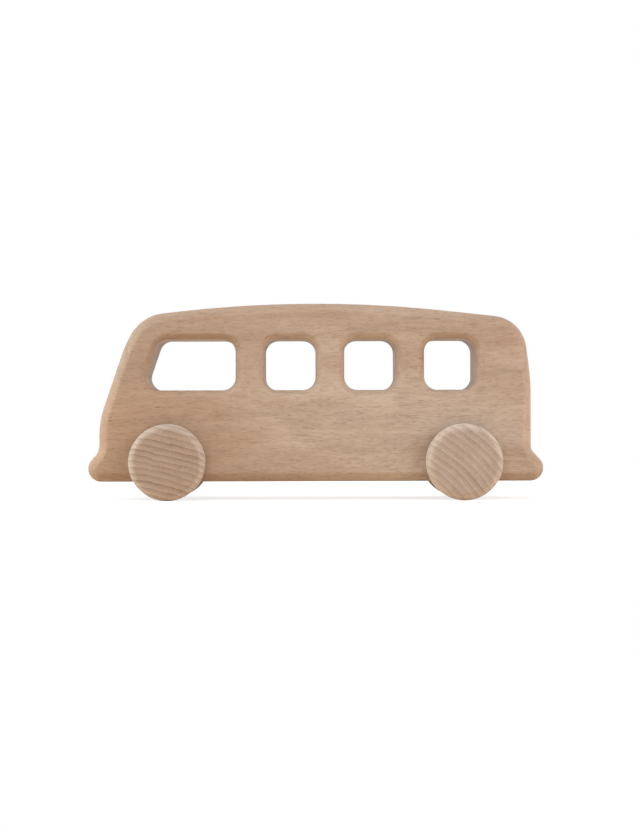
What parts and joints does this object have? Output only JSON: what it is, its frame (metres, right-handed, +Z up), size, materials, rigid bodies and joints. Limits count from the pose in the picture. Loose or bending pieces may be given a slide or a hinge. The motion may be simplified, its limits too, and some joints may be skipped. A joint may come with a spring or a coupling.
{
  "type": "toy bus",
  "caption": "Wooden push-along toy bus: a thick board sawn to a bus outline with a slanted windscreen, rounded edges and windows cut through it, rolling on plain turned wheels.",
  "frame": {"origin": "on the floor, below the middle of the body's length and thickness", "axes": "+Z up, the bus's front toward -X, its left side toward -Y and the axles along Y"},
  "size_m": [0.21, 0.066, 0.0905],
  "materials": {
    "body_wood": "sanded beech, oiled, matt",
    "wheel_wood": "turned beech, end grain on the faces, oiled, matt",
    "axle_wood": "beech dowel, sanded, matt"
  },
  "bodies": {
    "body": {"body": "body_wood"},
    "front_wheelset": {"front_axle": "axle_wood", "front_left_wheel": "wheel_wood", "front_right_wheel": "wheel_wood"},
    "rear_wheelset": {"rear_axle": "axle_wood", "rear_left_wheel": "wheel_wood", "rear_right_wheel": "wheel_wood"}
  },
  "joints": [
    {"name": "front_roll", "type": "hinge", "parent": "body", "child": "front_wheelset", "pos_m": [-0.068, 0, 0.0175], "axis": [0, 1, 0], "continuous": true},
    {"name": "rear_roll", "type": "hinge", "parent": "body", "child": "rear_wheelset", "pos_m": [0.068, 0, 0.0175], "axis": [0, 1, 0], "continuous": true}
  ]
}
